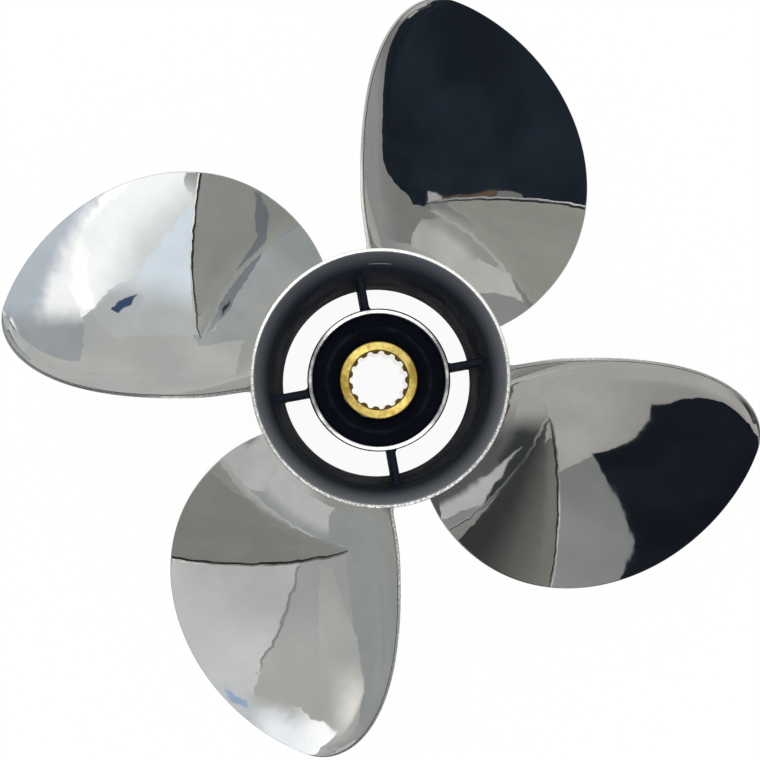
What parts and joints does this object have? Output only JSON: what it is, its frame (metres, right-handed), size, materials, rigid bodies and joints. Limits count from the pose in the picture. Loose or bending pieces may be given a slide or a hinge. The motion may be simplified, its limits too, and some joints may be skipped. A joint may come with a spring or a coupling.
{
  "type": "boat propeller",
  "caption": "Through-hub exhaust boat propeller: polished raked blades on a flared barrel, with a ribbed inner hub, a rubber bush and a splined brass drive sleeve.",
  "frame": {"origin": "centre of the barrel's forward face, on the shaft axis", "axes": "+Z aft along the shaft axis, +Y towards the first blade, which is at the top of the picture"},
  "size_m": [0.3266, 0.3266, 0.1309],
  "materials": {
    "polished_steel": "mirror-polished stainless steel",
    "charcoal_paint": "satin black paint on steel",
    "black_rubber": "matt moulded rubber",
    "turned_brass": "turned brass"
  },
  "bodies": {
    "sleeve": {"drive_sleeve": "turned_brass"},
    "bush": {"rubber_bush": "black_rubber"},
    "wheel": {"outer_barrel": "polished_steel", "diffuser_ring": "polished_steel", "inner_hub": "charcoal_paint", "rib_1": "charcoal_paint", "rib_2": "charcoal_paint", "rib_3": "charcoal_paint", "rib_4": "charcoal_paint", "blade_1": "polished_steel", "blade_2": "polished_steel", "blade_3": "polished_steel", "blade_4": "polished_steel"}
  },
  "joints": [
    {"name": "bush_windup", "type": "hinge", "parent": "sleeve", "child": "bush", "pos_m": [0, 0, 0.05], "axis": [0, 0, 1], "range_deg": [-8, 8], "stiffness_Nm_per_rad": 302},
    {"name": "hub_slip", "type": "hinge", "parent": "bush", "child": "wheel", "pos_m": [0, 0, 0.05], "axis": [0, 0, 1], "continuous": true}
  ]
}
